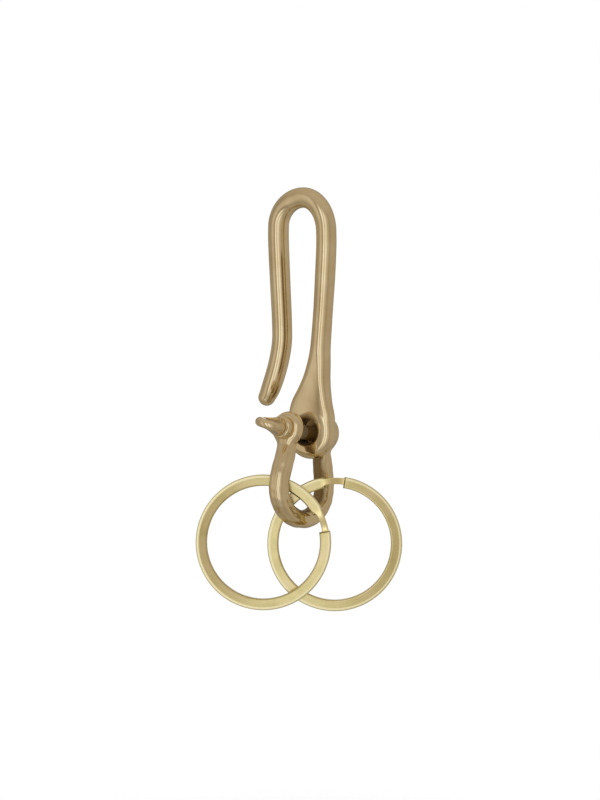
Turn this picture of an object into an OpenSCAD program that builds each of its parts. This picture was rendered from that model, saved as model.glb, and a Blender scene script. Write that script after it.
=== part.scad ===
// Belt key clip: a cast brass hook, a bow shackle with a screw pin, and two split rings
// The origin is under the top of the bend, where the belt's edge sits, and +Z points up the hook
// The hook lies in the XZ plane, with its open tip towards -X and its long leg towards +X

/* [Hook] */
// Diameter of the round hook wire
wire_d = 5.3; // [4.6:0.1:6]
// Half the distance between the legs at the bend, at the middle of the wire
bend_r = 7.8; // [6.8:0.1:10]
// Height of the bend above the straight of the short leg, at the middle of the wire
bend_rise_short = 7.3; // [6:0.1:10]
// Height of the bend above the straight of the long leg, at the middle of the wire
bend_rise_long = 9.4; // [7:0.1:12]
// Length from the top of the bend to the bottom of the eye
hook_len = 70.7; // [66:0.1:85]
// Length of the short leg, from the saddle down to the end of the tip
short_leg_len = 51.7; // [44:0.1:54]
// Distance of the tip's middle from the middle of the bend
tip_out = 11.7; // [9.5:0.1:14]
// Distance of the short leg from the middle of the bend where the legs come closest
short_waist = 6.6; // [5.8:0.1:8]
// Diameter of the rounded tip
tip_d = 4.5; // [3.6:0.1:5.2]

/* [Eye] */
// Outer diameter of the eye
eye_d = 13.6; // [13:0.1:17]
// Thickness of the paddle and the eye
eye_t = 5; // [4:0.1:5.6]
// Diameter of the hole through the eye
eye_hole_d = 6.9; // [5.6:0.1:8]
// Distance of the eye's middle from the middle of the bend
eye_side = 2.9; // [1.5:0.1:6]
// Rounding of the eye's edge
eye_round = 1.1; // [0.6:0.1:1.8]
// Rounding of the hole's mouths
mouth_round = 0.5; // [0.2:0.1:0.9]

/* [Shackle bow] */
// Width between the two ears
jaw_w = 11.6; // [9.6:0.1:15]
// Diameter of each ear
ear_d = 8.9; // [7.6:0.1:10]
// Thickness of each ear
ear_t = 3.5; // [2.6:0.1:4.4]
// Rounding of the ears' edges
ear_round = 1.2; // [0.6:0.1:1.5]
// Diameter of the bow's legs
bow_leg_d = 5.2; // [4.4:0.1:5.6]
// Diameter of the bow at its crown, where the rings hang
crown_d = 4.8; // [3.8:0.1:5.2]
// Distance of each leg from the middle where the bow is widest, at the middle of the bar
bow_half = 9.75; // [9.2:0.1:12]
// Depth of the widest place below the pin
bow_wide_drop = 14.6; // [12:0.1:18]
// Depth of the crown below the widest place
crown_drop = 7.9; // [7:0.1:11]
// Sideways tilt of the loose shackle on the hook, in degrees
shackle_tilt = 8.2; // [0:0.2:9]
// How far the loose shackle has slid through the eye, towards the pin's head
shackle_slide = 0.9; // [0:0.1:1.6]

/* [Screw pin] */
// Diameter of the pin's shank
pin_d = 3.9; // [3.2:0.1:4.3]
// Diameter of the pin's collar
collar_d = 6.1; // [5.4:0.1:7]
// Thickness of the collar
collar_t = 1.9; // [1.2:0.1:2.4]
// Diameter of the stem between the collar and the thumb tab
stem_d = 4.7; // [4.2:0.1:5.2]
// Length of the thumb tab beyond the stem
tab_len = 6.7; // [6:0.1:10]
// Width of the thumb tab
tab_w = 7.8; // [6:0.1:9]
// Thickness of the thumb tab
tab_t = 2.4; // [1.6:0.1:2.8]
// Spacing of the turns of the thread
thread_spacing = 0.7; // [0.5:0.1:1]
// Depth of the thread
thread_depth = 0.4; // [0.2:0.05:0.5]

/* [Split rings] */
// Outer diameter of each split ring
ring_d = 35; // [30:0.5:40]
// Width of the flat wire, across the ring
ring_wire_w = 2.9; // [2.4:0.1:3.6]
// Thickness of the flat wire
ring_wire_t = 1.15; // [0.9:0.05:1.3]
// Gap between the two turns
turn_gap = 0.06; // [0.04:0.01:0.12]
// Turn of the rings about the vertical, in degrees
ring_yaw = 37; // [25:1:45]
// Swing of the left ring out from hanging straight down, in degrees
left_spread_angle = 53.5; // [45:0.5:60]
// Swing of the right ring out from hanging straight down, in degrees
right_spread_angle = 51.5; // [45:0.5:60]
// How far the pair of rings has slid along the crown, away from the pin's head
ring_pair_slide = 0.4; // [0:0.1:1]
// Place of the left ring's cut end round the ring, in degrees
left_cut_angle = 10; // [0:1:20]
// Place of the right ring's cut end round the ring, in degrees
right_cut_angle = 81.5; // [70:0.5:95]
// Angle that the crank between the turns takes, in degrees
crank_angle = 18; // [14:1:26]

/* [Fits] */
// Radial clearance of the pin in the ears
pin_fit = 0.05; // [0.03:0.01:0.09]
// Gap between pieces that hang loosely on each other
loose_gap = 0.3; // [0.2:0.05:0.4]
// How far the left ring lies off the crown
left_slack = 0.9; // [0.2:0.05:0.9]
// How far the right ring lies off the crown
right_slack = 0.55; // [0.2:0.05:0.9]
// Gap between the collar and the ear
seat_gap = 0.05; // [0.03:0.01:0.1]

/* [Hidden] */
$fn = 64;
cast_tone = "#A98F63";
ring_tone = "#D2C07F";
// How far a cut runs past the faces that it goes through
overrun = 1;

// Sizes of the hook that follow from the ones above
wire_r = wire_d / 2;
eye_r = eye_d / 2;
eye_z = -(hook_len - wire_d - eye_r);
bend_top = wire_r;
short_leg_top = bend_top - bend_rise_short;
long_leg_top = bend_top - bend_rise_long;
tip_z = -(short_leg_len - tip_d / 2);
// How much thinner the swept paddle is than the eye, so that their faces never coincide
paddle_inset = 0.02;
paddle_half_t = eye_t / 2 - paddle_inset;

// Sizes of the shackle that follow from the ones above
pin_r = pin_d / 2;
half_tilt_rise = eye_t / 2 * tan(shackle_tilt);
pin_side = -sqrt(pow(eye_hole_d / 2 - pin_r - loose_gap, 2) - pow(half_tilt_rise, 2));
pin_place = [eye_side + pin_side, -shackle_slide, eye_z];
ear_mid = (jaw_w + ear_t) / 2;
ear_out = jaw_w / 2 + ear_t;

// Sizes of the rings that follow from the ones above
ring_in_r = ring_d / 2 - ring_wire_w;
ring_mid_r = ring_in_r + ring_wire_w / 2;
ring_t = 2 * ring_wire_t + turn_gap;
layer_rise = (ring_wire_t + turn_gap) / 2;

// Facets round the swept pieces, in each quarter, and rings along them
quarter_steps = 6;
bend_steps = 18;
leg_steps = 4;
bow_steps = 44;
ring_steps = 132;

// A smooth curve through knots of any length, by the Catmull-Rom rule
function knot(knots, i) = knots[max(0, min(len(knots) - 1, i))];
function between(a, b, c, d, t) =
    ((2 * b) + (c - a) * t + (2 * a - 5 * b + 4 * c - d) * t * t + (3 * b - a - 3 * c + d) * t * t * t) / 2;
function curve(knots, steps) = [
    for (i = [0 : len(knots) - 2], j = [0 : steps - 1])
        between(knot(knots, i - 1), knots[i], knots[i + 1], knot(knots, i + 2), j / steps),
    knots[len(knots) - 1]
];
function ease(t) = t * t * (3 - 2 * t);
function blend(from, to, share) = from + (to - from) * share;

// A closed skin over rings that all have the same number of points
module skin(rings) {
    count = len(rings[0]);
    last = len(rings) - 1;
    polyhedron(
        points = [for (ring = rings, p = ring) p],
        faces = concat(
            [[for (i = [0 : count - 1]) i]],
            [for (k = [0 : last - 1], i = [0 : count - 1]) let (n = (i + 1) % count)
                [k * count + i, (k + 1) * count + i, k * count + n]],
            [for (k = [0 : last - 1], i = [0 : count - 1]) let (n = (i + 1) % count)
                [k * count + n, (k + 1) * count + i, (k + 1) * count + n]],
            [[for (i = [count - 1 : -1 : 0]) last * count + i]]
        )
    );
}

// A flat outline with round corners: half width, half thickness, and the corners' radii on each side
function quarter(cx, cy, r, from) = [
    for (i = [0 : quarter_steps - 1]) let (a = from + 90 * (i + 0.5) / quarter_steps)
        [cx + r * cos(a), cy + r * sin(a)]
];
function outline(half_w, half_t, r_plus, r_minus) = concat(
    quarter(half_w - r_plus, half_t - r_plus, r_plus, 0),
    quarter(r_minus - half_w, half_t - r_minus, r_minus, 90),
    quarter(r_minus - half_w, r_minus - half_t, r_minus, 180),
    quarter(half_w - r_plus, r_plus - half_t, r_plus, 270)
);

// The hook's stations: across, height, half width, half thickness, radius on the outer and inner side
short_leg_x_shares = [1, 0.7, 0.28, 0.02, 0.04, 0.5, 0.98];
short_leg_z_shares = [1, 0.938, 0.815, 0.685, 0.56, 0.34, 0.1];
short_leg_r_shares = [0.87, 0.97, 1, 1, 1, 1.02, 1.04];
bend_r_share = 1.04;
function short_leg_x(i) = i < 4
    ? -(short_waist + (tip_out - short_waist) * short_leg_x_shares[i])
    : -(short_waist + (bend_r - short_waist) * short_leg_x_shares[i]);
short_leg = [
    for (i = [0 : len(short_leg_x_shares) - 1])
        let (r = i == 0 ? tip_d / 2 : wire_r * short_leg_r_shares[i])
            [short_leg_x(i), blend(short_leg_top, tip_z, short_leg_z_shares[i]), r, r, r, r]
];
bend = [
    for (i = [0 : bend_steps])
        let (
            a = 180 - 180 * i / bend_steps,
            rise = a > 90 ? bend_rise_short : bend_rise_long,
            r = wire_r * blend(bend_r_share, 1, i / bend_steps)
        )
        [bend_r * cos(a), bend_top - rise * (1 - sin(a)), r, r, r, r]
];
// Down the long leg: shares of the depth to the eye, and of the way across to the eye's middle
leg_drop_shares = [0.08, 0.22, 0.39, 0.565, 0.65, 0.73, 0.8, 0.875, 0.935, 1];
leg_side_shares = [0, 0.08, 0.21, 0.37, 0.47, 0.64, 0.83, 1, 1.02, 1];
// Half width as a share of the way from the wire's radius to the eye's
leg_spread_shares = [0, 0, -0.02, 0, 0.08, 0.21, 0.44, 0.74, 0.89, 0.98];
// Half thickness and sharpness of the edges, as shares of the way from the round wire to the flat eye
leg_flat_shares = [0, 0, 0, 0.05, 0.3, 0.7, 1, 1, 1, 1];
leg_sharp_shares = [0, 0, 0, 0.02, 0.12, 0.5, 0.85, 1, 1, 1];
long_leg = [
    for (i = [0 : len(leg_drop_shares) - 1])
        let (
            half_w = blend(wire_r, eye_r, leg_spread_shares[i]),
            half_t = min(blend(wire_r, paddle_half_t, leg_flat_shares[i]), half_w),
            r = blend(half_t, eye_round, leg_sharp_shares[i])
        )
        [
            blend(bend_r, eye_side, leg_side_shares[i]),
            blend(long_leg_top, eye_z, leg_drop_shares[i]),
            half_w, half_t, r, r
        ]
];
hook_line = concat(
    curve(concat(short_leg, [bend[0]]), leg_steps),
    [for (i = [1 : bend_steps - 1]) bend[i]],
    curve(concat([bend[bend_steps]], long_leg), leg_steps)
);
function heading(line, i) = let (
    a = line[max(0, i - 1)],
    b = line[min(len(line) - 1, i + 1)],
    d = [b[0] - a[0], b[1] - a[1]]
) d / norm(d);
function hook_ring(s, dir, shrink = 1, ahead = 0) = [
    for (p = outline(s[2] * shrink, s[3] * shrink, s[4] * shrink, s[5] * shrink))
        [s[0] + dir[0] * ahead - dir[1] * p[0], -p[1], s[1] + dir[1] * ahead + dir[0] * p[0]]
];
// The tip closes in a dome of rings
dome_angles = [80, 60, 40, 20];
hook_rings = concat(
    [for (a = dome_angles) hook_ring(hook_line[0], heading(hook_line, 0), cos(a), -tip_d / 2 * sin(a))],
    [for (i = [0 : len(hook_line) - 1]) hook_ring(hook_line[i], heading(hook_line, i))]
);

// A round plate along Z with rounded edges
module plate(r, t, edge) {
    rotate_extrude() {
        translate([0, -t / 2])
            square([r - edge, t]);
        translate([0, edge - t / 2])
            square([r, t - 2 * edge]);
        for (side = [-1, 1])
            translate([r - edge, side * (t / 2 - edge)])
                circle(edge);
    }
}

// What a rounded hole takes out of a plate: the bore and the rounding at both mouths
module rounded_bore(r, t, edge) {
    cylinder(h = t + 2 * overrun, r = r, center = true);
    for (side = [0, 1])
        mirror([0, 0, side])
            rotate_extrude()
                difference() {
                    translate([r - edge, t / 2 - edge])
                        square([2 * edge, edge + overrun]);
                    translate([r + edge, t / 2 - edge])
                        circle(edge);
                }
}

module hook() {
    color(cast_tone)
        difference() {
            union() {
                skin(hook_rings);
                translate([eye_side, 0, eye_z])
                    rotate([90, 0, 0])
                        plate(eye_r, eye_t, eye_round);
            }
            translate([eye_side, 0, eye_z])
                rotate([90, 0, 0])
                    rounded_bore(eye_hole_d / 2, eye_t, mouth_round);
        }
}

// The shackle's own frame: the pin runs along Y with its head towards -Y, and the bow hangs down
module on_hook() {
    translate(pin_place)
        rotate([-shackle_tilt, 0, 0])
            children();
}

// Share of the way down to the widest place at which the legs start to flare
flare_share = 0.22;
// Half of the bow's middle line, from an ear down to the crown, as sideways place and depth
function flare(t) = ease(max(0, (2 * t - flare_share) / (1 - flare_share)));
function bow_half_line(t) = t < 0.5
    ? [blend(ear_mid, bow_half, flare(t)), -bow_wide_drop * 2 * t]
    : [bow_half * cos(180 * (t - 0.5)), -bow_wide_drop - crown_drop * sin(180 * (t - 0.5))];
bow_line = [
    for (i = [0 : bow_steps])
        let (t = 2 * i / bow_steps, p = bow_half_line(t < 1 ? t : 2 - t))
            [t < 1 ? -p[0] : p[0], p[1]]
];
// The bar is as thin as the ears down to the collar's edge, then round, and slimmer at the crown
neck_share = 0.11;
round_share = 0.27;
function bow_bar_r(t) = let (s = t < 1 ? t : 2 - t)
    s < round_share
    ? blend(ear_t, bow_leg_d, ease(max(0, (s - neck_share) / (round_share - neck_share)))) / 2
    : blend(bow_leg_d, crown_d, ease((s - round_share) / (1 - round_share))) / 2;
module bow_bar() {
    skin([
        for (i = [0 : bow_steps])
            let (
                p = bow_line[i],
                dir = heading(bow_line, i),
                across = bow_bar_r(2 * i / bow_steps),
                wide = i < bow_steps / 8 || i > bow_steps * 7 / 8 ? bow_leg_d / 2 : across
            )
            [for (q = outline(across, wide, min(across, wide), min(across, wide)))
                [q[1], p[0] - dir[1] * q[0], p[1] + dir[0] * q[0]]]
    ]);
}

module shackle_bow() {
    color(cast_tone)
        on_hook()
            difference() {
                union() {
                    bow_bar();
                    for (side = [-1, 1])
                        translate([0, side * ear_mid, 0])
                            rotate([90, 0, 0])
                                plate(ear_d / 2, ear_t, ear_round);
                }
                rotate([90, 0, 0])
                    cylinder(h = 2 * ear_out + 2 * overrun, r = pin_r + pin_fit, center = true);
            }
}

// The pin stands along Z with its thumb tab up, and is laid along the shackle's Y axis
thread_turns = round(ear_t / thread_spacing);
shank_top = ear_out + seat_gap;
stem_top = shank_top + collar_t + stem_d / 4;
module threaded_end() {
    rotate_extrude()
        polygon(concat(
            [[0, -ear_out]],
            [for (i = [0 : thread_turns - 1], half = [0, 1])
                [pin_r - thread_depth * (1 - half), -ear_out + (i + half / 2) * thread_spacing]],
            [[pin_r - thread_depth, -ear_out + thread_turns * thread_spacing], [0, -ear_out + ear_t]]
        ));
}
module thumb_tab() {
    hull() {
        translate([0, 0, stem_top])
            cylinder(h = tab_t, r = stem_d / 2 - tab_t / 8, center = true, $fn = 32);
        translate([0, 0, stem_top + tab_len - tab_w / 2])
            rotate([90, 0, 0])
                rotate_extrude($fn = 32)
                    translate([tab_w / 2 - tab_t / 2, 0])
                        circle(tab_t / 2, $fn = 16);
    }
}
module shackle_pin() {
    color(cast_tone)
        on_hook()
            rotate([90, 0, 0]) {
                threaded_end();
                translate([0, 0, ear_t - ear_out])
                    cylinder(h = shank_top + ear_out - ear_t + collar_t / 2, r = pin_r);
                translate([0, 0, shank_top + collar_t / 2])
                    plate(collar_d / 2, collar_t, collar_t / 3);
                translate([0, 0, shank_top + collar_t / 2])
                    cylinder(h = stem_top - shank_top - collar_t / 2, r = stem_d / 2);
                thumb_tab();
            }
}

// The middle of the crown, where the rings hang, in the hook's frame
crown_depth = bow_wide_drop + crown_drop;
crown_place = pin_place + [0, -crown_depth * sin(shackle_tilt), -crown_depth * cos(shackle_tilt)];
// How far the slanted bar reaches from its middle towards a ring's inner edge
function bar_reach(spread) =
    norm([crown_d / 2 / cos(ring_yaw) * sin(spread), crown_d / 2 * cos(spread)])
    + ring_t / 2 * tan(ring_yaw) * sin(spread);
function ring_hang(spread, slack) = ring_in_r - bar_reach(spread) - slack;
// The rings stand one behind the other, with a gap between their faces
ring_step = (ring_t + loose_gap) / 2;
bar_slip = ring_step / cos(ring_yaw);

// One split ring about Z: front turn, crank, back turn
module split_ring(cut) {
    turn = 360 - crank_angle;
    sweep = 2 * turn + crank_angle;
    skin([
        for (i = [0 : ring_steps])
            let (
                along = sweep * i / ring_steps,
                a = cut - along,
                down = ease(max(0, min(1, (along - turn) / crank_angle))),
                z = blend(layer_rise, -layer_rise, down)
            )
            [for (c = [[-1, -1], [1, -1], [1, 1], [-1, 1]])
                let (r = ring_mid_r + c[0] * ring_wire_w / 2)
                    [r * cos(a), r * sin(a), z + c[1] * ring_wire_t / 2]]
    ]);
}

// A ring hung on the crown: side is -1 for the left ring, in front, and 1 for the right one, behind
module hung_ring(side, spread, slack, cut) {
    hang = ring_hang(spread, slack);
    translate(crown_place + [0, side * bar_slip + ring_pair_slide, 0])
        rotate([90, 0, ring_yaw])
            translate([side * hang * sin(spread), -hang * cos(spread), 0])
                split_ring(cut);
}
module split_ring_left() {
    color(ring_tone)
        hung_ring(-1, left_spread_angle, left_slack, left_cut_angle);
}
module split_ring_right() {
    color(ring_tone)
        hung_ring(1, right_spread_angle, right_slack, right_cut_angle);
}

hook();
shackle_bow();
shackle_pin();
split_ring_left();
split_ring_right();
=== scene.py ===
import math

import bpy
import numpy as np
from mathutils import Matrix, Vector


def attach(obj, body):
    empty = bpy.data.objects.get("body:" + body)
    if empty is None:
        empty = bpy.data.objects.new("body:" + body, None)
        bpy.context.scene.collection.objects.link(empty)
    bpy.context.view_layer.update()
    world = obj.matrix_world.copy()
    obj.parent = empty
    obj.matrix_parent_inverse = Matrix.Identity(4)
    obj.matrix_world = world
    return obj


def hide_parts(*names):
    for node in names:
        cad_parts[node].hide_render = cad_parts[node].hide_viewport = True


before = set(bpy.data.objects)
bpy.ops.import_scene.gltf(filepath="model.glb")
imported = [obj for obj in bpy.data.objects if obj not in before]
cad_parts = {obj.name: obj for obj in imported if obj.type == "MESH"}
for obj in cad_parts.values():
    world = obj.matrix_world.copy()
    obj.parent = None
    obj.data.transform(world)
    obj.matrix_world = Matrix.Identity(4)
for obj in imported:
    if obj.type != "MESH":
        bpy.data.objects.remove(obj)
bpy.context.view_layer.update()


# Camera. A 100 mm lens level with the middle of the clip, turned 37 degrees towards the pin's head.
# Distances are in metres.
camera_turn, camera_far = math.radians(37), 0.58
camera_towards = Vector((math.sin(camera_turn), -math.cos(camera_turn), 0))
camera_right = Vector((math.cos(camera_turn), math.sin(camera_turn), 0))
camera_aim = Vector((-0.00046, -0.00035, -0.05016))
camera_data = bpy.data.cameras.new("camera")
camera_data.lens, camera_data.sensor_width, camera_data.clip_start = 100, 36, 0.01
camera = bpy.data.objects.new("camera", camera_data)
camera.location = camera_aim + camera_towards * camera_far
camera.rotation_euler = (math.radians(90), 0, camera_turn)
bpy.context.collection.objects.link(camera)
bpy.context.scene.camera = camera
bpy.context.scene.view_settings.view_transform = "Standard"


# Studio. A white sweep all round for the camera. Polished metal also meets a pair of tall soft boxes on the
# left, dimmer walls on the camera's side, a grey ceiling and a dark table under the clip.
def linear(hex_colour):
    """An sRGB hex colour as linear red, green, blue and a full alpha."""
    parts = [int(hex_colour[i:i + 2], 16) / 255 for i in (1, 3, 5)]
    return [c / 12.92 if c <= 0.04045 else ((c + 0.055) / 1.055) ** 2.4 for c in parts] + [1]


def add(tree, kind, settings=(), inputs=(), stops=()):
    """A node with its settings. An input is a value, an earlier node, which stands for its first output, or
    another output of one. A colour ramp also takes its stops, as place and sRGB hex colour."""
    node = tree.nodes.new(kind)
    for key, value in dict(settings).items():
        setattr(node, key, value)
    for key, value in dict(inputs).items():
        if isinstance(value, bpy.types.Node):
            value = value.outputs[0]
        if isinstance(value, bpy.types.NodeSocket):
            tree.links.new(value, node.inputs[key])
        else:
            node.inputs[key].default_value = value
    if stops:
        marks = node.color_ramp.elements
        marks.remove(marks[0])
        marks[0].position, marks[0].color = stops[0][0], linear(stops[0][1])
        for place, colour in stops[1:]:
            marks.new(place).color = linear(colour)
    return node


studio = bpy.data.worlds.new("studio")
bpy.context.scene.world = studio
studio.use_nodes = True
sky = studio.node_tree
sky.nodes.clear()
softly = {"interpolation_type": "SMOOTHSTEP"}
way = add(sky, "ShaderNodeTexCoord").outputs["Generated"]
to_camera = add(sky, "ShaderNodeVectorMath", {"operation": "DOT_PRODUCT"}, {0: way, 1: camera_towards})
to_right = add(sky, "ShaderNodeVectorMath", {"operation": "DOT_PRODUCT"}, {0: way, 1: camera_right})
up = add(sky, "ShaderNodeSeparateXYZ", {}, {0: way}).outputs["Z"]
turned = add(sky, "ShaderNodeMath", {"operation": "ARCTAN2"},
             {0: to_right.outputs["Value"], 1: to_camera.outputs["Value"]})
around = add(sky, "ShaderNodeMapRange", {}, {"Value": turned, "From Min": -math.pi, "From Max": math.pi})
# Round the horizon, from straight behind the clip on the left to straight behind it on the right
walls = add(sky, "ShaderNodeValToRGB", {}, {"Fac": around}, [
    (0.000, "#7E786D"), (0.056, "#827C71"), (0.125, "#A0988B"), (0.222, "#999285"), (0.250, "#9E978A"),
    (0.278, "#B1A89A"), (0.306, "#C0B9AE"), (0.333, "#C7C0B7"), (0.353, "#B0A799"), (0.375, "#8E877C"),
    (0.392, "#B8B0A3"), (0.408, "#F9F9F9"), (0.425, "#FCFCFC"), (0.439, "#CAC5BC"), (0.453, "#B8B0A3"),
    (0.467, "#E5E5E4"), (0.483, "#F6F6F6"), (0.497, "#E5E5E4"), (0.514, "#CBC6BD"), (0.531, "#C0B9AE"),
    (0.556, "#B8B0A3"), (0.586, "#A79E91"), (0.606, "#9D9588"), (0.625, "#A39B8E"), (0.653, "#AAA194"),
    (0.722, "#ABA395"), (0.806, "#A79E91"), (0.875, "#A39B8E"), (0.917, "#928B7F"), (0.958, "#827C71"),
    (1.000, "#7E786D"),
])
# From the table straight below up to the ceiling
height = add(sky, "ShaderNodeMapRange", {}, {"Value": up, "From Min": -1, "From Max": 1})
ends = add(sky, "ShaderNodeValToRGB", {}, {"Fac": height}, [
    (0.00, "#A39B8E"), (0.10, "#999285"), (0.20, "#8C857A"), (0.30, "#827C71"), (0.40, "#827C71"),
    (0.60, "#A29A8D"), (0.70, "#A59D8F"), (0.80, "#AAA194"), (1.00, "#B3AA9C"),
])
# The walls and soft boxes stand between the table and the ceiling
above_table = add(sky, "ShaderNodeMapRange", softly, {"Value": up, "From Min": -0.95, "From Max": -0.35})
under_ceiling = add(sky, "ShaderNodeMapRange", softly, {"Value": up, "From Min": 0.65, "From Max": 0.4})
level_with = add(sky, "ShaderNodeMath", {"operation": "MULTIPLY"}, {0: above_table, 1: under_ceiling})
room = add(sky, "ShaderNodeMix", {"data_type": "RGBA"}, {"Factor": level_with, 6: ends, 7: walls})
# The white sweep straight behind the clip is also met by metal seen edge-on
behind = add(sky, "ShaderNodeMapRange", softly,
             {"Value": to_camera.outputs["Value"], "From Min": -0.965, "From Max": -0.985})
room = add(sky, "ShaderNodeMix", {"data_type": "RGBA"},
           {"Factor": behind, 6: room.outputs[2], 7: (0.8, 0.8, 0.8, 1)})
ray = add(sky, "ShaderNodeLightPath").outputs
seen_in_metal = add(sky, "ShaderNodeBackground", {}, {"Color": room.outputs[2], "Strength": 1.25})
soft_fill = add(sky, "ShaderNodeBackground", {}, {"Color": (1, 1, 1, 1), "Strength": 0.9})
sweep = add(sky, "ShaderNodeBackground", {}, {"Color": (1, 1, 1, 1), "Strength": 1})
light = add(sky, "ShaderNodeMixShader", {}, {0: ray["Is Glossy Ray"], 1: soft_fill, 2: seen_in_metal})
clear = add(sky, "ShaderNodeMath", {"operation": "MAXIMUM"},
            {0: ray["Is Camera Ray"], 1: ray["Is Transmission Ray"]})
background = add(sky, "ShaderNodeMixShader", {}, {0: clear, 1: light, 2: sweep})
add(sky, "ShaderNodeOutputWorld", {}, {"Surface": background})

# A soft box over the camera's left shoulder models the forms. Metal doesn't mirror it
key_far, key_left, key_up = 0.75, 0.35, 0.55
key_data = bpy.data.lights.new("key_softbox", "AREA")
key_data.shape, key_data.size, key_data.size_y, key_data.energy = "RECTANGLE", 0.5, 0.8, 1.2
key = bpy.data.objects.new("key_softbox", key_data)
key.location = camera_aim + camera_towards * key_far - camera_right * key_left + Vector((0, 0, key_up))
key.rotation_euler = (camera_aim - key.location).to_track_quat("-Z", "Y").to_euler()
key.visible_glossy = False
bpy.context.collection.objects.link(key)

# The pale floor lies well under the rings. It takes their soft shadow and fades out into the white sweep
floor_low, floor_reach, fade_from, fade_to, floor_corners = -0.175, 0.16, 0.04, 0.14, 96
floor_turns = np.linspace(0, 2 * math.pi, floor_corners + 1)[:-1]
floor_mesh = bpy.data.meshes.new("floor")
floor_rim = [(floor_reach * math.cos(a), floor_reach * math.sin(a), floor_low) for a in floor_turns]
floor_mesh.from_pydata(floor_rim, [], [list(range(floor_corners))])
floor = bpy.data.objects.new("floor", floor_mesh)
bpy.context.collection.objects.link(floor)
# Matt wall paint, which shows no gloss and no grain
pale_floor = bpy.data.materials.new("pale_painted_floor")
pale_floor.use_nodes = True
paint = pale_floor.node_tree
paint.nodes.clear()
spot = add(paint, "ShaderNodeTexCoord").outputs["Object"]
flat = add(paint, "ShaderNodeVectorMath", {"operation": "MULTIPLY"}, {0: spot, 1: (1, 1, 0)})
reach = add(paint, "ShaderNodeVectorMath", {"operation": "LENGTH"}, {0: flat})
fade = add(paint, "ShaderNodeMapRange", softly,
           {"Value": reach.outputs["Value"], "From Min": fade_from, "From Max": fade_to})
path = add(paint, "ShaderNodeLightPath").outputs
gone = add(paint, "ShaderNodeMath", {"operation": "MAXIMUM"}, {0: fade, 1: path["Is Glossy Ray"]})
matt = add(paint, "ShaderNodeBsdfDiffuse", {}, {"Color": linear("#FBFBFB")})
nothing = add(paint, "ShaderNodeBsdfTransparent")
blended = add(paint, "ShaderNodeMixShader", {}, {0: gone, 1: matt, 2: nothing})
add(paint, "ShaderNodeOutputMaterial", {}, {"Surface": blended})
floor_mesh.materials.append(pale_floor)


# Hook. One solid brass casting: round J-shaped wire whose long leg flattens into a paddle with an eye.
# It is cast, filed and polished by hand, so its faces swell slightly and its edges are soft.
# Sizes in millimetres: the bend, the two legs, the tip, the eye, and the twist of the paddle.
wire_d, bend_half, rise_short, rise_long = 5.3, 7.8, 7.3, 9.4
hook_long, short_leg_long, tip_out, waist_half, tip_d = 70.7, 51.7, 11.7, 6.6, 4.5
eye_d, eye_thick, eye_hole_d, eye_across, eye_edge = 14.0, 5.1, 7.0, 2.9, 1.8
face_swell, swell_power, eye_fillet, hole_soft = 0.75, 2.4, 0.5, 0.45
face_turn, twist_top, twist_over = math.radians(7.5), -30, 16
eye_low = -(hook_long - wire_d - eye_d / 2)
wire_r, eye_r = wire_d / 2, eye_d / 2


def smooth_line(knots, steps):
    """Catmull-Rom curve through rows of station values."""
    knots = np.asarray(knots, float)
    rows = []
    for i in range(len(knots) - 1):
        a, b, c, d = (knots[min(max(j, 0), len(knots) - 1)] for j in (i - 1, i, i + 1, i + 2))
        square, cube = 2 * a - 5 * b + 4 * c - d, 3 * b - a - 3 * c + d
        for t in np.arange(steps) / steps:
            rows.append((2 * b + (c - a) * t + square * t ** 2 + cube * t ** 3) / 2)
    return np.array(rows + [knots[-1]])


def mix(low, high, share):
    return low + (high - low) * np.asarray(share, float)


def ease(t):
    t = np.clip(t, 0, 1)
    return t * t * (3 - 2 * t)


def even_line(rows, step, soften):
    """Rows along a curve respaced evenly, with their kinks softened over a short length."""
    along = np.concatenate([[0], np.cumsum(np.linalg.norm(np.diff(rows[:, :2], axis=0), axis=1))])
    even = np.linspace(0, along[-1], int(along[-1] / step))
    rows = np.column_stack([np.interp(even, along, column) for column in rows.T])
    reach = max(1, int(soften / step))
    kernel = np.hanning(2 * reach + 1)
    padded = np.vstack([2 * rows[:1] - rows[reach:0:-1], rows, 2 * rows[-1:] - rows[-2:-reach - 2:-1]])
    return np.column_stack([np.convolve(column, kernel / kernel.sum(), "valid") for column in padded.T])


def nearest_on(line, points):
    """Distance from flat points to a flat line, and the line's row values there. Points that lie over each
    other are worked out once, and each is matched to every tenth point of the line first."""
    grains = np.round(points * 1e5).astype(np.int64)
    keys = grains[:, 0] * 10 ** 8 + grains[:, 1]
    firsts, back = np.unique(keys, return_index=True, return_inverse=True)[1:]
    points = points[firsts]
    distance, values = np.empty(len(points)), np.empty((len(points), line.shape[1]))
    stride, batch = 10, 20000
    coarse = line[::stride, :2]
    window = np.arange(-8, 8)
    for start in range(0, len(points), batch):
        p = points[start:start + batch]
        nearest = ((coarse ** 2).sum(1) - 2 * p @ coarse.T).argmin(1)
        i = np.clip(nearest[:, None] * stride + window, 0, len(line) - 2)
        a, run = line[i, :2], line[i + 1, :2] - line[i, :2]
        t = np.clip(((p[:, None] - a) * run).sum(2) / (run ** 2).sum(2), 0, 1)
        gap = ((p[:, None] - a - run * t[..., None]) ** 2).sum(2)
        best = gap.argmin(1)
        pick = np.arange(len(p))
        k, t = i[pick, best], t[pick, best][:, None]
        distance[start:start + batch] = np.sqrt(gap[pick, best])
        values[start:start + batch] = line[k] * (1 - t) + line[k + 1] * t
    return distance[back], values[back]


def bar_field(across, through, half_w, half_t, corner):
    """Distance to a rounded rectangular section."""
    a, b = np.abs(across) - (half_w - corner), np.abs(through) - (half_t - corner)
    return np.hypot(np.maximum(a, 0), np.maximum(b, 0)) + np.minimum(np.maximum(a, b), 0) - corner


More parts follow.
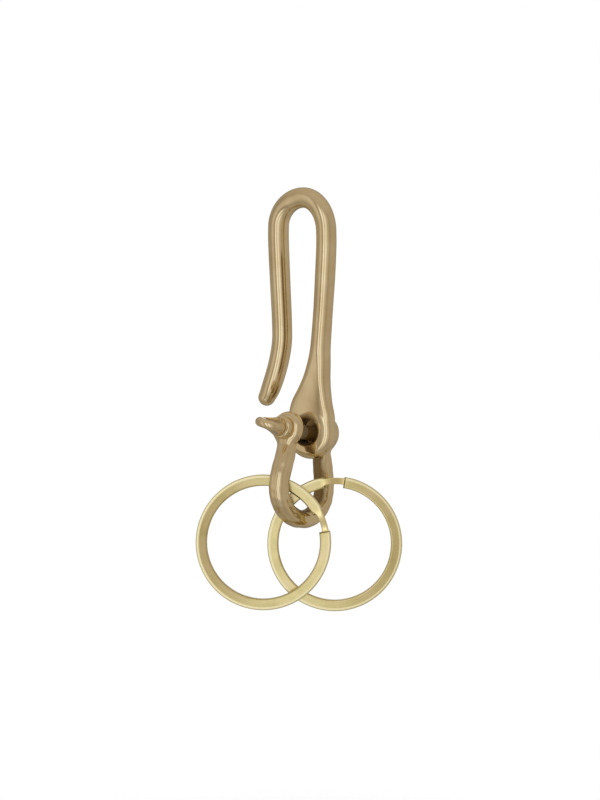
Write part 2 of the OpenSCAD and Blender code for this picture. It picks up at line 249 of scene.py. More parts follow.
def join(a, b, soft):
    """Two solids melted together with a small fillet."""
    h = np.maximum(soft - np.abs(a - b), 0) / soft
    return np.minimum(a, b) - h * h * soft / 4


def cut(a, b, soft):
    """Solid a with b taken out and the new edge rounded."""
    return -join(-a, b, soft)


def cast(name, field, painted_dark, low, high, cell, place=lambda p: p):
    """A closed, evenly meshed casting of the solid where field is negative, in millimetres. Each point is
    pulled onto the true surface, and a point attribute holds painted shade, from how sheltered it is and the
    dark marks given."""
    axes = [np.arange(low[i] - 2 * cell, high[i] + 3 * cell, cell) for i in range(3)]
    grid = np.stack(np.meshgrid(*axes, indexing="ij"), -1)
    shape = grid.shape[:3]
    inside = (field(grid.reshape(-1, 3)) < 0).reshape(shape)
    # One point in each cell that the surface crosses, and a face round each grid edge that it cuts
    corners = sum(inside[x:shape[0] - 1 + x, y:shape[1] - 1 + y, z:shape[2] - 1 + z].astype(int)
                  for x in (0, 1) for y in (0, 1) for z in (0, 1))
    crossed = (corners > 0) & (corners < 8)
    number = np.full(crossed.shape, -1)
    number[crossed] = np.arange(crossed.sum())
    points = np.argwhere(crossed) * cell + [axis[0] + cell / 2 for axis in axes]
    quads = []
    for axis in range(3):
        spun = [axis, (axis + 1) % 3, (axis + 2) % 3]
        solid, cells = np.moveaxis(inside, spun, [0, 1, 2]), np.moveaxis(number, spun, [0, 1, 2])
        here, there = solid[:-1, 1:-1, 1:-1], solid[1:, 1:-1, 1:-1]
        for leaves, order in ((here & ~there, (0, 1, 2, 3)), (~here & there, (3, 2, 1, 0))):
            i, j, k = np.argwhere(leaves).T
            ring = [cells[i, j, k], cells[i, j + 1, k], cells[i, j + 1, k + 1], cells[i, j, k + 1]]
            quads.append(np.column_stack([ring[o] for o in order]))
    quads = np.vstack(quads)
    edges = np.vstack([quads[:, [0, 1]], quads[:, [1, 2]], quads[:, [2, 3]], quads[:, [3, 0]]])
    count = np.bincount(edges[:, 0], minlength=len(points))[:, None]

    # Some of the pulls onto the surface come after the points are evened out between their neighbours
    fine_step, wide_step, evening, most_pull = 0.02, 0.05, 0.6, 0.6 * cell
    for evened in (False, False, True, True, True, False):
        if evened:
            around = [np.bincount(edges[:, 0], points[edges[:, 1], i], len(points)) for i in range(3)]
            points = (1 - evening) * points + evening * np.column_stack(around) / count
        level = field(points)
        g = np.column_stack([field(points + by) - level for by in np.eye(3) * fine_step]) / fine_step
        pull = level[:, None] * g / np.maximum((g * g).sum(1), 0.05)[:, None]
        points = points - np.clip(pull, -most_pull, most_pull)
    g = np.column_stack([field(points + by) - field(points - by) for by in np.eye(3) * wide_step])
    normals = g / np.maximum(np.linalg.norm(g, axis=1), 1e-6)[:, None]

    # Painted shade: sheltered places have metal in front of them at one of three distances, each with its
    # weight, and are darkened by it.
    painted_shade = sum(np.clip(1 - field(points + normals * d) / d, 0, 1) * weight
                 for d, weight in ((0.5, 0.4), (1.2, 0.35), (2.4, 0.25)))
    painted_shade = np.maximum(0.8 * painted_shade, painted_dark(points, normals))
    points = place(points)
    normals = place(normals) - place(np.zeros((1, 3)))
    mesh = bpy.data.meshes.new(name)
    mesh.from_pydata((points * 0.001).tolist(), [], quads.tolist())
    mesh.attributes.new("painted_shade", "FLOAT", "POINT").data.foreach_set("value", painted_shade.astype(np.float32))
    mesh.shade_smooth()
    mesh.normals_split_custom_set_from_vertices(normals.tolist())
    piece = bpy.data.objects.new(name, mesh)
    bpy.context.collection.objects.link(piece)
    return piece


# Stations down the wire: across, height, half width, half thickness, corner radius, swell of the faces
short_top, long_top = wire_r - rise_short, wire_r - rise_long
short_x = [-mix(waist_half, tip_out, s) for s in (1, 0.7, 0.28, 0.02)] \
    + [-mix(waist_half, bend_half, s) for s in (0.04, 0.5, 0.98)]
short_z = mix(short_top, -(short_leg_long - tip_d / 2), [1, 0.938, 0.815, 0.685, 0.56, 0.34, 0.1])
short_r = wire_r * np.array([0.87, 0.97, 1, 1, 1, 1.02, 1.04])
short_r[0] = tip_d / 2
short_leg = [[x, z, r, r, r, 0] for x, z, r in zip(short_x, short_z, short_r)]
bend_turn = np.radians(180 - 180 * np.arange(181) / 180)
bend_rise = np.where(bend_turn > math.pi / 2, rise_short, rise_long)
bend_r = wire_r * mix(1.04, 1, np.arange(181) / 180)
bend = np.column_stack([bend_half * np.cos(bend_turn), wire_r - bend_rise * (1 - np.sin(bend_turn)),
                        bend_r, bend_r, bend_r, bend_r * 0])
leg_w = mix(wire_r, eye_r, [0, 0, -0.02, 0, 0.1, 0.24, 0.48, 0.8, 0.93, 0.98])
leg_t = np.minimum(mix(wire_r, eye_thick / 2, [0, 0, 0, 0.05, 0.3, 0.7, 1, 1, 1, 1]), leg_w)
leg_corner = leg_t + (eye_edge - leg_t) * np.array([0, 0, 0, 0.02, 0.12, 0.5, 0.85, 1, 1, 1])
long_leg = np.column_stack([
    mix(bend_half, eye_across, [0, 0.08, 0.21, 0.37, 0.465, 0.61, 0.76, 0.92, 0.97, 1]),
    mix(long_top, eye_low, [0.08, 0.22, 0.39, 0.565, 0.65, 0.73, 0.8, 0.875, 0.935, 1]),
    leg_w, leg_t, leg_corner, face_swell * np.array([0, 0, 0, 0, 0.1, 0.4, 0.8, 1, 1, 1])])
hook_rows = [smooth_line(np.vstack([short_leg, bend[:1]]), 20)[:-1], bend[:-1],
             smooth_line(np.vstack([bend[-1:], long_leg]), 20)]
hook_line = even_line(np.vstack(hook_rows), step=0.1, soften=0.9)


def hook_field(p):
    # The paddle and the eye are twisted a few degrees out of the bend's plane, but the bore is drilled square
    bore = np.hypot(p[:, 0] - eye_across, p[:, 2] - eye_low)
    middle = np.interp(-p[:, 2], -long_leg[:, 1], long_leg[:, 0])
    off_short_leg = ease((p[:, 0] + 1 - (p[:, 2] - twist_top) / 4) / 1.5)
    twist = face_turn * ease((twist_top - p[:, 2]) / twist_over) * off_short_leg
    x, y, turn_cos, turn_sin = p[:, 0] - middle, p[:, 1], np.cos(twist), np.sin(twist)
    p = np.column_stack([middle + x * turn_cos + y * turn_sin, y * turn_cos - x * turn_sin, p[:, 2]])
    gap, at = nearest_on(hook_line, p[:, [0, 2]])
    half_w, half_t, corner, swell = at[:, 2:].T
    half_t = half_t - swell * np.minimum(gap / half_w, 1.1) ** swell_power
    corner = np.minimum(corner, np.minimum(half_w, half_t))
    leg = bar_field(gap, p[:, 1], half_w, half_t, corner)
    out = np.hypot(p[:, 0] - eye_across, p[:, 2] - eye_low)
    eye_half = eye_thick / 2 - face_swell * np.minimum(out / eye_r, 1.1) ** swell_power
    eye = bar_field(out, p[:, 1], eye_r, eye_half, np.minimum(eye_edge, eye_half))
    return cut(join(leg, eye, eye_fillet), bore - eye_hole_d / 2, hole_soft)


# Painted reflection and shade on the hook: a dark streak down the short leg where it faces in and forwards,
# in degrees, stands for the long leg's reflection; painted shade darkens the wall of the hole, and the front
# over the hole where the near ear hangs in front of it
streak_dark, streak_facing, streak_spread, streak_high, streak_low = 0.85, -38, 10, -6, -47
wall_dark, ear_shade_dark, ear_shade_reach, ear_shade_fade = 0.5, 0.76, 2.3, 1.9


def hook_painted_shade(p, normals):
    facing = np.degrees(np.arctan2(normals[:, 1], normals[:, 0]))
    streak = np.exp(-((facing - streak_facing) / streak_spread) ** 2) * (p[:, 0] < -3)
    streak = streak * ease((streak_high - p[:, 2]) / 8) * ease((p[:, 2] - streak_low) / 5)
    out = np.hypot(p[:, 0] - eye_across, p[:, 2] - eye_low) - eye_hole_d / 2
    wall = ease((0.25 - out) / 0.3) * ease((eye_thick / 2 - np.abs(p[:, 1])) / 0.6)
    ear_shade = ease((ear_shade_reach - out) / ear_shade_fade) * ease((p[:, 2] - eye_low - 1) / 2) * (p[:, 1] < 0)
    return np.maximum(np.maximum(streak_dark * streak, wall_dark * wall), ear_shade_dark * ear_shade)


hook = cast("hook_casting", hook_field, hook_painted_shade,
            low=(-14, -3.8, -65.8), high=(10.6, 3.8, 5.4), cell=0.26)

# The metal of the castings: cast brass, polished on a wheel and then toned by handling. The eye sees soft
# mirror streaks, a faint ripple from the casting, hair-fine wheel marks and painted shade in the hollows.
# Its patterns, in counts to the metre: clouds of tone 6 mm across, ripple 1.6 mm, wheel marks 0.2 mm apart,
# which are finer on the real one than the render can show.
clouds_per_m, ripples_per_m, marks_per_m = 160, 620, 4200
cast_brass = bpy.data.materials.new("polished_cast_brass")
cast_brass.use_nodes = True
metal = cast_brass.node_tree
metal.nodes.clear()
where = add(metal, "ShaderNodeTexCoord").outputs["Object"]
cloud = add(metal, "ShaderNodeTexNoise", {},
            {"Vector": where, "Scale": clouds_per_m, "Detail": 4, "Roughness": 0.55}).outputs["Fac"]
tone = add(metal, "ShaderNodeValToRGB", {}, {"Fac": cloud},
           [(0.3, "#DAC69F"), (0.5, "#E2CFA9"), (0.7, "#E7D7B2")])
hollow = add(metal, "ShaderNodeAttribute", {"attribute_name": "painted_shade"}).outputs["Fac"]
hollow_amount = add(metal, "ShaderNodeMapRange", {},
                    {"Value": hollow, "From Min": 0.36, "From Max": 0.8, "To Max": 0.97})
# Painted shade: the tone darkens towards a deep brown as the sheltered amount grows
shaded_tone = add(metal, "ShaderNodeMix", {"data_type": "RGBA"},
            {"Factor": hollow_amount, 6: tone, 7: linear("#735205")}).outputs[2]
ripple = add(metal, "ShaderNodeTexNoise", {},
             {"Vector": where, "Scale": ripples_per_m, "Detail": 2, "Roughness": 0.5}).outputs["Fac"]
drawn_down = add(metal, "ShaderNodeMapping", {}, {"Vector": where, "Scale": (1, 1, 0.06)})
marks = add(metal, "ShaderNodeTexNoise", {},
            {"Vector": drawn_down, "Scale": marks_per_m, "Detail": 2, "Roughness": 0.6}).outputs["Fac"]
gloss = add(metal, "ShaderNodeMapRange", {},
            {"Value": marks, "From Min": 0.3, "From Max": 0.7, "To Min": 0.07, "To Max": 0.14})
dull = add(metal, "ShaderNodeMix", {"data_type": "FLOAT"}, {0: hollow_amount, 2: gloss, 3: 0.45})
# Where shade is painted, less of the surface is bare metal, so that the painted shade stays dark
bare = add(metal, "ShaderNodeMapRange", {}, {"Value": hollow_amount, "To Min": 1, "To Max": 0.4})
ripple_bump = add(metal, "ShaderNodeBump", {}, {"Height": ripple, "Strength": 0.2, "Distance": 0.00005})
mark_bump = add(metal, "ShaderNodeBump", {},
                {"Height": marks, "Strength": 0.15, "Distance": 0.00001, "Normal": ripple_bump})
shader = add(metal, "ShaderNodeBsdfPrincipled", {},
             {"Base Color": shaded_tone, "Metallic": bare, "Roughness": dull, "Normal": mark_bump})
add(metal, "ShaderNodeOutputMaterial", {}, {"Surface": shader})
hook.data.materials.append(cast_brass)
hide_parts("hook")
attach(hook, "hook")


# Shackle bow. One brass casting in an omega shape, with a round ear at each end for the pin.
# It hangs loosely in the hook's eye, leaning a little, and its legs swell below the ears.
# Sizes in millimetres, about the pin: the ears, the bar, the pin and its play, the lean, and the eye's bore.
jaw_wide, ear_d, ear_thick, ear_edge = 11.6, 8.9, 3.5, 1.6
far_ear_d, far_ear_thick, far_ear_edge, far_ear_up, far_ear_aside = 9.7, 5.2, 0.9, 0.6, -0.4
leg_d, crown_d, bow_half, wide_drop, crown_drop = 4.85, 4.6, 9.75, 14.6, 8.0
flare_from, neck_from, neck_long, neck_end = 0.22, 0.11, 0.16, 0.27
leg_back, top_round, leg_round, ear_fillet, mouth_soft = 0.3, 0.85, 0.78, 0.9, 0.3
lump_deep, facets, facet_deep, facet_change = 0.035, 8, 0.01, 0.006
pin_d, pin_fit, loose_gap = 3.9, 0.05, 0.3
shackle_tilt, shackle_slide = math.radians(8.2), 0.9
bore_d, bore_long, bore_low = 6.9, 5, -58.6
ear_mid, ear_out, pin_r = (jaw_wide + ear_thick) / 2, jaw_wide / 2 + ear_thick, pin_d / 2
pin_reach, pin_rise = bore_d / 2 - pin_r - loose_gap, bore_long / 2 * math.tan(shackle_tilt)
pin_place = np.array([eye_across - math.sqrt(pin_reach ** 2 - pin_rise ** 2), -shackle_slide, bore_low])


def on_hook(p):
    """From the shackle's own frame, with the pin along Y, to where it hangs in the eye."""
    lean = np.array([[1, 0, 0], [0, math.cos(shackle_tilt), math.sin(shackle_tilt)],
                     [0, -math.sin(shackle_tilt), math.cos(shackle_tilt)]])
    return p @ lean.T + pin_place


# Stations round the bow from ear to ear: side, height, half depth, half thickness. The share of the way down
# runs from 0 at the pin through a half at the widest place to 1 at the crown.
bow_rows = []
for t in np.linspace(0, 2, 401):
    share = min(t, 2 - t)
    if share < 0.5:
        side = mix(ear_mid, bow_half, ease((2 * share - flare_from) / (1 - flare_from)))
        depth = wide_drop * 2 * share
    else:
        side = bow_half * math.cos(math.pi * (share - 0.5))
        depth = wide_drop + crown_drop * math.sin(math.pi * (share - 0.5))
    if share < neck_end:
        bar = mix(ear_thick, leg_d, ease((share - neck_from) / neck_long)) / 2
    else:
        bar = mix(leg_d, crown_d, ease((share - neck_end) / (1 - neck_end))) / 2
    bow_rows.append([-side if t < 1 else side, -depth, bar, leg_d / 2 if share < neck_end else bar])
bow_line = even_line(np.array(bow_rows), step=0.1, soften=1.2)


def bow_field(p):
    gap, at = nearest_on(bow_line, p[:, [1, 2]])
    half_in, half_through = at[:, 2:].T
    aside = p[:, 0] - leg_back * ease((-3 - p[:, 2]) / 5)
    roundness = mix(top_round, leg_round, ease((-6 - p[:, 2]) / 6))
    bar = bar_field(gap, aside, half_in, half_through, np.minimum(half_in, half_through) * roundness)
    # Filed by hand: the bar swells and dips a few hundredths of a millimetre, and keeps the file's facets
    bar = bar + lump_deep * np.sin(1.9 * p[:, 2] + 1.3 * p[:, 0]) * np.sin(1.1 * p[:, 1] - 0.7 * p[:, 2])
    facet = facet_deep + facet_change * np.sin(0.6 * p[:, 2] + p[:, 1])
    bar = bar + facet * np.cos(facets * np.arctan2(aside, gap))
    out = np.hypot(p[:, 0], p[:, 2])
    near = bar_field(out, p[:, 1] + ear_mid, ear_d / 2, ear_thick / 2, ear_edge)
    far_out = np.hypot(p[:, 0] - far_ear_aside, p[:, 2] - far_ear_up)
    far = bar_field(far_out, p[:, 1] - ear_out + far_ear_thick / 2, far_ear_d / 2, far_ear_thick / 2,
                    far_ear_edge)
    return cut(join(bar, np.minimum(near, far), ear_fillet), out - pin_r - pin_fit, mouth_soft)


# Painted shade on the inner faces of the ears and down the inside of the bow
jaws_dark, inside_dark, bow_middle = 0.65, 0.76, 13


def bow_painted_shade(p, normals):
    far_side = p[:, 1] > 0
    inward = ease((-normals[:, 1] * np.sign(p[:, 1]) - np.where(far_side, -0.4, 0.2)) / 0.5)
    jaws = inward * ease((p[:, 2] + 7) / 3) * ease((jaw_wide / 2 + 0.9 - np.abs(p[:, 1])) / 0.5)
    gap, at = nearest_on(bow_line, p[:, [1, 2]])
    to_middle = -np.column_stack([at[:, 0], at[:, 1] + bow_middle])
    to_middle = to_middle / np.linalg.norm(to_middle, axis=1)[:, None]
    inwards = ((p[:, 1:] - at[:, :2]) * to_middle).sum(1) / np.hypot(gap, p[:, 0])
    inside = ease((inwards - 0.1) / 0.8) * ease((-3 - p[:, 2]) / 3)
    return np.maximum(jaws_dark * jaws, inside_dark * inside)


bow = cast("shackle_bow_casting", bow_field, bow_painted_shade,
           low=(-5.4, -12.4, -25), high=(4.9, 12.4, 5.6), cell=0.2, place=on_hook)
bow.data.materials.append(cast_brass)
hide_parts("shackle_bow")
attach(bow, "shackle_bow")


# Screw pin. Turned from brass bar, with a cast thumb tab pressed flat at its head, a collar that stops
# against the near ear, and a thread that holds it in the far ear. It is left a few degrees past level.
# Sizes in millimetres: the collar and stem, the tab, the thread.
collar_d, collar_thick, stem_d, seat_gap = 6.1, 1.9, 4.7, 0.05
tab_long, tab_wide, tab_thick, tab_turn = 6.7, 7.8, 2.4, math.radians(15)
thread_pitch, thread_deep, thread_start, thread_kept = 0.7, 0.4, 0.5708, 0.8
neck_soft, disc_fillet, stem_fillet, collar_fillet, stem_edge = 1.2, 0.8, 0.7, 0.25, 0.7
shank_top = ear_out + seat_gap
stem_top = shank_top + collar_thick + stem_d / 4
tab_mid = stem_top + tab_long - tab_wide / 2


def pin_field(p):
    along, level, flat = -p[:, 1], p[:, 0], p[:, 2]
    out = np.hypot(level, flat)
    ridge = np.abs(((along + ear_out) / thread_pitch + thread_start) % 1 - 0.5) * 2
    thread = np.where(along < ear_thick - ear_out, thread_deep * ridge, 0)
    shank = np.maximum(out - pin_r + thread * thread_kept,
                       np.abs(along - (shank_top - ear_out) / 2) - (shank_top + ear_out) / 2)
    collar = bar_field(out, along - shank_top - collar_thick / 2, collar_d / 2, collar_thick / 2,
                       collar_thick / 3)
    stem = bar_field(out, along - (shank_top + stem_top) / 2, stem_d / 2, (stem_top - shank_top) / 2 + 0.5,
                     stem_edge)
    # The root is thick on the tab's underside and thins out to the tab's disc
    turn_cos, turn_sin = math.cos(tab_turn), math.sin(tab_turn)
    level, flat = level * turn_cos - flat * turn_sin, flat * turn_cos + level * turn_sin
    share = ease((along - stem_top) / (tab_mid - stem_top))
    half_w = mix(stem_d / 2, tab_wide / 2 - 0.3, share)
    half_t = mix(stem_d / 2 - 0.2, tab_thick / 2 - 0.15, share)
    beyond_ends = np.abs(along - (stem_top + tab_mid) / 2) - (tab_mid - stem_top) / 2
    neck = cut(bar_field(level, flat, half_w, half_t, half_t), -beyond_ends, neck_soft)
    disc = bar_field(np.hypot(level, along - tab_mid), flat, tab_wide / 2, tab_thick / 2, tab_thick / 2)
    head = join(join(neck, disc, disc_fillet), stem, stem_fillet)
    return np.minimum(shank, join(head, collar, collar_fillet))


# The shank between the ears gets painted shade, which also dulls it, darkest where it sits in the eye and
# beyond it
near_dark, eye_dark = 0.6, 1


def pin_painted_shade(p, normals):
    between_ears = ease((jaw_wide / 2 - np.abs(p[:, 1])) / 0.3)
    return mix(near_dark, eye_dark, ease((p[:, 1] + 1.9) / 1.2)) * between_ears


pin = cast("shackle_pin_turned", pin_field, pin_painted_shade,
           low=(-4.1, -19.3, -4.1), high=(4.1, 9.4, 4.1), cell=0.13, place=on_hook)
pin.data.materials.append(cast_brass)
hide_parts("shackle_pin")
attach(pin, "shackle_pin")


# Split rings. Each is one length of flat brass wire wound in two turns, with a crank where the wire steps
# from the front turn to the back one, and both ends cut square. They are threaded onto the bow and hang free.
# Sizes in metres. The flat rim alone is in millimetres.
ring_d, wire_wide, wire_thick, turn_gap, edge_round = 0.035, 0.0029, 0.00115, 0.00006, 0.00022
edge_crown, flat_rim, crank_pinch, crank_outwards = 0.15, 0.7, 0.42, 0.18
ring_turn, ring_crank, ring_slide = math.radians(37), math.radians(18), 0.0004
ring_steps = 420
split_ring = bpy.data.node_groups.new("split_ring", "GeometryNodeTree")
for label, kind, value in (
        ("Outer diameter", "NodeSocketFloat", ring_d), ("Wire width", "NodeSocketFloat", wire_wide),
        ("Wire thickness", "NodeSocketFloat", wire_thick), ("Gap between turns", "NodeSocketFloat", turn_gap),
        ("Edge rounding", "NodeSocketFloat", edge_round), ("Edge crown", "NodeSocketFloat", edge_crown),
        ("Flat rim", "NodeSocketFloat", flat_rim), ("Face slope", "NodeSocketFloat", 0.0),
        ("Slope change", "NodeSocketFloat", 0.0), ("Cut place", "NodeSocketFloat", 0.0),
        ("Crank angle", "NodeSocketFloat", ring_crank), ("Crank pinch", "NodeSocketFloat", crank_pinch),
        ("Centre", "NodeSocketVector", (0, 0, 0)), ("Turn", "NodeSocketVector", (0, 0, 0)),
        ("Metal", "NodeSocketMaterial", None)):
    socket = split_ring.interface.new_socket(label, in_out="INPUT", socket_type=kind)
    if value is not None:
        socket.default_value = value
split_ring.interface.new_socket("Ring", in_out="OUTPUT", socket_type="NodeSocketGeometry")
size = add(split_ring, "NodeGroupInput").outputs
maths = "ShaderNodeMath"
plus, minus, times, over = [{"operation": word} for word in ("ADD", "SUBTRACT", "MULTIPLY", "DIVIDE")]

# The wire's middle line: one turn, the crank down to the back turn, and the other turn
turn = add(split_ring, maths, minus, {0: 2 * math.pi, 1: size["Crank angle"]})
two_turns = add(split_ring, maths, times, {0: turn, 1: 2})
whole_sweep = add(split_ring, maths, plus, {0: two_turns, 1: size["Crank angle"]})
index = add(split_ring, "GeometryNodeInputIndex")
share = add(split_ring, maths, over, {0: index, 1: ring_steps})
along = add(split_ring, maths, times, {0: whole_sweep, 1: share})
angle = add(split_ring, maths, minus, {0: size["Cut place"], 1: along})
crank_end = add(split_ring, maths, plus, {0: turn, 1: size["Crank angle"]})
down = add(split_ring, "ShaderNodeMapRange", softly,
           {"Value": along, "From Min": turn, "From Max": crank_end})
rise = add(split_ring, maths, plus, {0: size["Wire thickness"], 1: size["Gap between turns"]})
half_rise = add(split_ring, maths, times, {0: rise, 1: 0.5})
down_twice = add(split_ring, maths, times, {0: down, 1: 2})
one_to_minus_one = add(split_ring, maths, minus, {0: 1, 1: down_twice})
level = add(split_ring, maths, times, {0: half_rise, 1: one_to_minus_one})
middle_d = add(split_ring, maths, minus, {0: size["Outer diameter"], 1: size["Wire width"]})
middle = add(split_ring, maths, times, {0: middle_d, 1: 0.5})
cosine = add(split_ring, maths, {"operation": "COSINE"}, {0: angle})
sine = add(split_ring, maths, {"operation": "SINE"}, {0: angle})
spot_x = add(split_ring, maths, times, {0: middle, 1: cosine})
spot_y = add(split_ring, maths, times, {0: middle, 1: sine})
spot = add(split_ring, "ShaderNodeCombineXYZ", {}, {0: spot_x, 1: spot_y, 2: level})
line = add(split_ring, "GeometryNodeMeshLine", {}, {"Count": ring_steps + 1, "Offset": (0, 0, 0.001)})
placed = add(split_ring, "GeometryNodeSetPosition", {}, {"Geometry": line, "Position": spot})
kept = add(split_ring, "GeometryNodeStoreNamedAttribute", {"data_type": "FLOAT", "domain": "POINT"},
           {"Geometry": placed, "Name": "along", "Value": along})
wire = add(split_ring, "GeometryNodeMeshToCurve", {}, {0: kept})
steady = add(split_ring, "GeometryNodeSetCurveNormal", {"mode": "Z_UP"}, {"Curve": wire})

# The wire's section: a strip with rounded corners that thins a little towards its two edges
thin_from, thin_rate = 0.7, 3.3
strip = add(split_ring, "GeometryNodeCurvePrimitiveQuadrilateral", {},
            {"Width": size["Wire width"], "Height": size["Wire thickness"]})
rounded = add(split_ring, "GeometryNodeFilletCurve", {"mode": "POLY"},
              {"Curve": strip, "Count": 4, "Radius": size["Edge rounding"]})
fine = add(split_ring, "GeometryNodeResampleCurve", {"mode": "COUNT"}, {"Curve": rounded, "Count": 44})
point = add(split_ring, "GeometryNodeInputPosition")
section = add(split_ring, "ShaderNodeSeparateXYZ", {}, {0: point}).outputs
from_middle = add(split_ring, maths, {"operation": "ABSOLUTE"}, {0: section[0]})
half_wide = add(split_ring, maths, times, {0: size["Wire width"], 1: 0.5})
to_edge = add(split_ring, maths, over, {0: from_middle, 1: half_wide})
past_flat = add(split_ring, maths, minus, {0: to_edge, 1: thin_from})
past_flat = add(split_ring, maths, times, {0: past_flat, 1: thin_rate})
past_flat = add(split_ring, maths, {"operation": "MAXIMUM"}, {0: past_flat, 1: 0})
squared = add(split_ring, maths, {"operation": "POWER"}, {0: past_flat, 1: 2})
thinner = add(split_ring, maths, times, {0: size["Edge crown"], 1: squared})
left_over = add(split_ring, maths, minus, {0: 1, 1: thinner})
crowned_y = add(split_ring, maths, times, {0: section[1], 1: left_over})
crowned = add(split_ring, "ShaderNodeCombineXYZ", {}, {0: section[0], 1: crowned_y})
profile = add(split_ring, "GeometryNodeSetPosition", {}, {"Geometry": fine, "Position": crowned})
drawn = add(split_ring, "GeometryNodeCurveToMesh", {},
            {"Curve": steady, "Profile Curve": profile, "Fill Caps": True})

# The press that cranks the wire pinches it narrower there and pushes it a little outwards
flat = add(split_ring, "ShaderNodeVectorMath", {"operation": "MULTIPLY"}, {0: point, 1: (1, 1, 0)})
radius = add(split_ring, "ShaderNodeVectorMath", {"operation": "LENGTH"}, {0: flat}).outputs["Value"]
along_again = add(split_ring, "GeometryNodeInputNamedAttribute", {"data_type": "FLOAT"}, {"Name": "along"})
past_turn = add(split_ring, maths, minus, {0: along_again, 1: turn})
in_crank = add(split_ring, maths, over, {0: past_turn, 1: size["Crank angle"]})
off_middle = add(split_ring, maths, minus, {0: in_crank, 1: 0.5})
off_middle = add(split_ring, maths, {"operation": "ABSOLUTE"}, {0: off_middle})
hump = add(split_ring, "ShaderNodeMapRange", softly, {"Value": off_middle, "From Min": 0.8, "From Max": 0.4})
pinch = add(split_ring, maths, times, {0: hump, 1: size["Crank pinch"]})
across = add(split_ring, maths, minus, {0: radius, 1: middle})
most_outwards = add(split_ring, maths, times, {0: size["Wire width"], 1: crank_outwards})
outwards = add(split_ring, maths, times, {0: pinch, 1: most_outwards})
new_middle = add(split_ring, maths, plus, {0: middle, 1: outwards})
unpinched = add(split_ring, maths, minus, {0: 1, 1: pinch})
new_across = add(split_ring, maths, times, {0: across, 1: unpinched})
new_radius = add(split_ring, maths, plus, {0: new_middle, 1: new_across})
growth = add(split_ring, maths, over, {0: new_radius, 1: radius})
scaled = add(split_ring, "ShaderNodeVectorMath", {"operation": "SCALE"}, {0: flat, "Scale": growth})

# The wire's faces lean a few degrees, more on one side of the ring, as wire wound on edge does, up to a rim
# that wear has flattened
here = add(split_ring, "ShaderNodeSeparateXYZ", {}, {0: point}).outputs
through = here[2]
side_share = add(split_ring, maths, over, {0: here[0], 1: radius})
change = add(split_ring, maths, times, {0: size["Slope change"], 1: side_share})
slope = add(split_ring, maths, minus, {0: size["Face slope"], 1: change})
rim_m = add(split_ring, maths, times, {0: size["Flat rim"], 1: 0.001})
to_rim = add(split_ring, maths, {"operation": "MINIMUM"}, {0: across, 1: rim_m})
lean_here = add(split_ring, maths, times, {0: to_rim, 1: slope})
leaning = add(split_ring, maths, plus, {0: through, 1: lean_here})
lift = add(split_ring, "ShaderNodeCombineXYZ", {}, {2: leaning})
shaped = add(split_ring, "ShaderNodeVectorMath", {"operation": "ADD"}, {0: scaled, 1: lift})
pressed = add(split_ring, "GeometryNodeSetPosition", {}, {"Geometry": drawn, "Position": shaped})

# Where each point lies on the wire, for the metal: millimetres along it, across it and through it
mm_round = add(split_ring, maths, times, {0: middle, 1: 1000})
along_mm = add(split_ring, maths, times, {0: along_again, 1: mm_round})
wire_across_mm = add(split_ring, maths, times, {0: across, 1: 1000})
through_mm = add(split_ring, maths, times, {0: through, 1: 1000})
on_wire = add(split_ring, "ShaderNodeCombineXYZ", {}, {0: along_mm, 1: wire_across_mm, 2: through_mm})
marked = add(split_ring, "GeometryNodeStoreNamedAttribute", {"data_type": "FLOAT_VECTOR", "domain": "POINT"},
             {"Geometry": pressed, "Name": "on_wire", "Value": on_wire})
marked = add(split_ring, "GeometryNodeStoreNamedAttribute", {"data_type": "FLOAT", "domain": "POINT"},
             {"Geometry": marked, "Name": "pressed", "Value": hump})
hung = add(split_ring, "GeometryNodeTransform", {},
           {"Geometry": marked, "Translation": size["Centre"], "Rotation": size["Turn"]})
real = add(split_ring, "GeometryNodeRealizeInstances", {}, {0: hung})
smooth = add(split_ring, "GeometryNodeSetShadeSmooth", {}, {0: real})
finished = add(split_ring, "GeometryNodeSetMaterial", {}, {"Geometry": smooth, "Material": size["Metal"]})
add(split_ring, "NodeGroupOutput", {}, {0: finished})

# The rings' metal: brass drawn to flat wire and left satin, paler than the castings. The eye sees faint lines
# along the wire, 0.2 mm apart, soft olive and rosy stains 6 mm across, and a painted highlight on the outer
# edge.
lines_per_mm, lines_drawn_out, stains_per_m = 5, 0.05, 170
ring_brass = bpy.data.materials.new("satin_brass_wire")
ring_brass.use_nodes = True
metal = ring_brass.node_tree
metal.nodes.clear()
on_wire_mm = add(metal, "ShaderNodeAttribute", {"attribute_name": "on_wire"}).outputs["Vector"]
where = add(metal, "ShaderNodeTexCoord").outputs["Object"]
drawn_out = add(metal, "ShaderNodeMapping", {},
                {"Vector": on_wire_mm, "Scale": (lines_drawn_out, lines_per_mm, lines_per_mm)})
lines = add(metal, "ShaderNodeTexNoise", {},
            {"Vector": drawn_out, "Scale": 1, "Detail": 3, "Roughness": 0.6}).outputs["Fac"]
stain = add(metal, "ShaderNodeTexNoise", {},
            {"Vector": where, "Scale": stains_per_m, "Detail": 4, "Roughness": 0.6}).outputs["Fac"]
tones = add(metal, "ShaderNodeValToRGB", {}, {"Fac": stain},
            [(0.3, "#C8BB84"), (0.5, "#D7C994"), (0.7, "#E0CEA3")])
gloss = add(metal, "ShaderNodeMapRange", {},
            {"Value": lines, "From Min": 0.3, "From Max": 0.7, "To Min": 0.13, "To Max": 0.24})
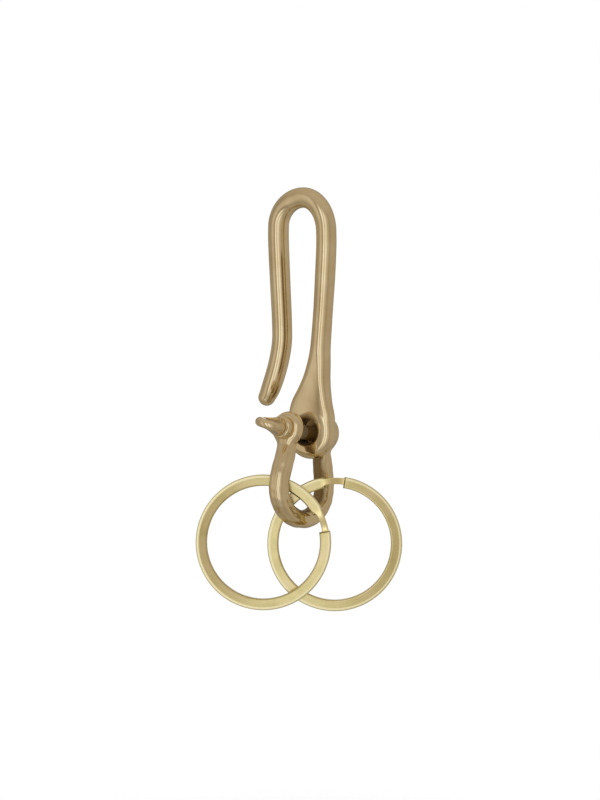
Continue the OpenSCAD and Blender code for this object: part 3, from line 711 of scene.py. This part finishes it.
# The crank is left smoother, and painted highlights make it paler and brighten the wire's outer edge
crank_gloss_and_highlight = add(metal, "ShaderNodeAttribute", {"attribute_name": "pressed"}).outputs["Fac"]
across_mm = add(metal, "ShaderNodeSeparateXYZ", {}, {0: on_wire_mm}).outputs["Y"]
edge_gloss_and_highlight = add(metal, "ShaderNodeMapRange", softly, {"Value": across_mm, "From Min": 0.55, "From Max": 0.8})
tones = add(metal, "ShaderNodeMix", {"data_type": "RGBA"},
            {"Factor": edge_gloss_and_highlight, 6: tones, 7: linear("#F2E8BC")})
tones = add(metal, "ShaderNodeMix", {"data_type": "RGBA"},
            {"Factor": crank_gloss_and_highlight, 6: tones.outputs[2], 7: linear("#FBEBB2")})
gloss = add(metal, "ShaderNodeMix", {"data_type": "FLOAT"}, {0: edge_gloss_and_highlight, 2: gloss, 3: 0.26})
gloss = add(metal, "ShaderNodeMix", {"data_type": "FLOAT"}, {0: crank_gloss_and_highlight, 2: gloss, 3: 0.12})
grain = add(metal, "ShaderNodeBump", {}, {"Height": lines, "Strength": 0.25, "Distance": 0.00001})
shader = add(metal, "ShaderNodeBsdfPrincipled", {},
             {"Base Color": tones.outputs[2], "Metallic": 1, "Roughness": gloss, "Normal": grain})
add(metal, "ShaderNodeOutputMaterial", {}, {"Surface": shader})

# Both rings hang on the bow's crown. Each row gives the ring's side, how far round its middle hangs to that
# side, its slack on the bar, where its front end is cut, and the lean of its faces with its change
bar_d, crown_depth = 0.0048, 0.0225
crown_place = Vector(pin_place * 0.001) \
    + Vector((0, -crown_depth * math.sin(shackle_tilt), -crown_depth * math.cos(shackle_tilt)))
ring_thick = 2 * wire_thick + turn_gap
for name, side, spread, slack, cut_place, lean, lean_change in (
        ("left", -1, math.radians(53.5), 0.0009, math.radians(10), math.radians(6), math.radians(3)),
        ("right", 1, math.radians(51.5), 0.00055, math.radians(81.5), math.radians(-4), math.radians(2))):
    bar = bar_d / 2
    reach = math.hypot(bar / math.cos(ring_turn) * math.sin(spread), bar * math.cos(spread)) \
        + ring_thick / 2 * math.tan(ring_turn) * math.sin(spread)
    hang = ring_d / 2 - wire_wide - reach - slack
    apart = (ring_thick + loose_gap * 0.001) / 2 / math.cos(ring_turn)
    aside = side * hang * math.sin(spread)
    centre = crown_place + Vector((aside * math.cos(ring_turn),
                                   side * apart + ring_slide + aside * math.sin(ring_turn),
                                   -hang * math.cos(spread)))
    blank = bpy.data.objects.new(f"blank_{name}", bpy.data.meshes.new(f"blank_{name}"))
    bpy.context.collection.objects.link(blank)
    winding = blank.modifiers.new("split_ring", "NODES")
    winding.node_group = split_ring
    inputs = {s.name: s.identifier for s in split_ring.interface.items_tree if s.in_out == "INPUT"}
    winding[inputs["Cut place"]] = cut_place
    winding[inputs["Face slope"]] = math.tan(lean)
    winding[inputs["Slope change"]] = math.tan(lean_change)
    winding[inputs["Centre"]] = centre
    winding[inputs["Turn"]] = (math.radians(90), 0, ring_turn)
    winding[inputs["Metal"]] = ring_brass
    blank.modifiers.new("flat_faces", "WEIGHTED_NORMAL")
    bpy.context.view_layer.update()
    mesh = bpy.data.meshes.new_from_object(blank.evaluated_get(bpy.context.evaluated_depsgraph_get()))
    bpy.data.objects.remove(blank)
    mesh.name = f"split_ring_{name}_wire"
    ring = bpy.data.objects.new(f"split_ring_{name}_wire", mesh)
    bpy.context.collection.objects.link(ring)
    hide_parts(f"split_ring_{name}")
    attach(ring, f"split_ring_{name}")
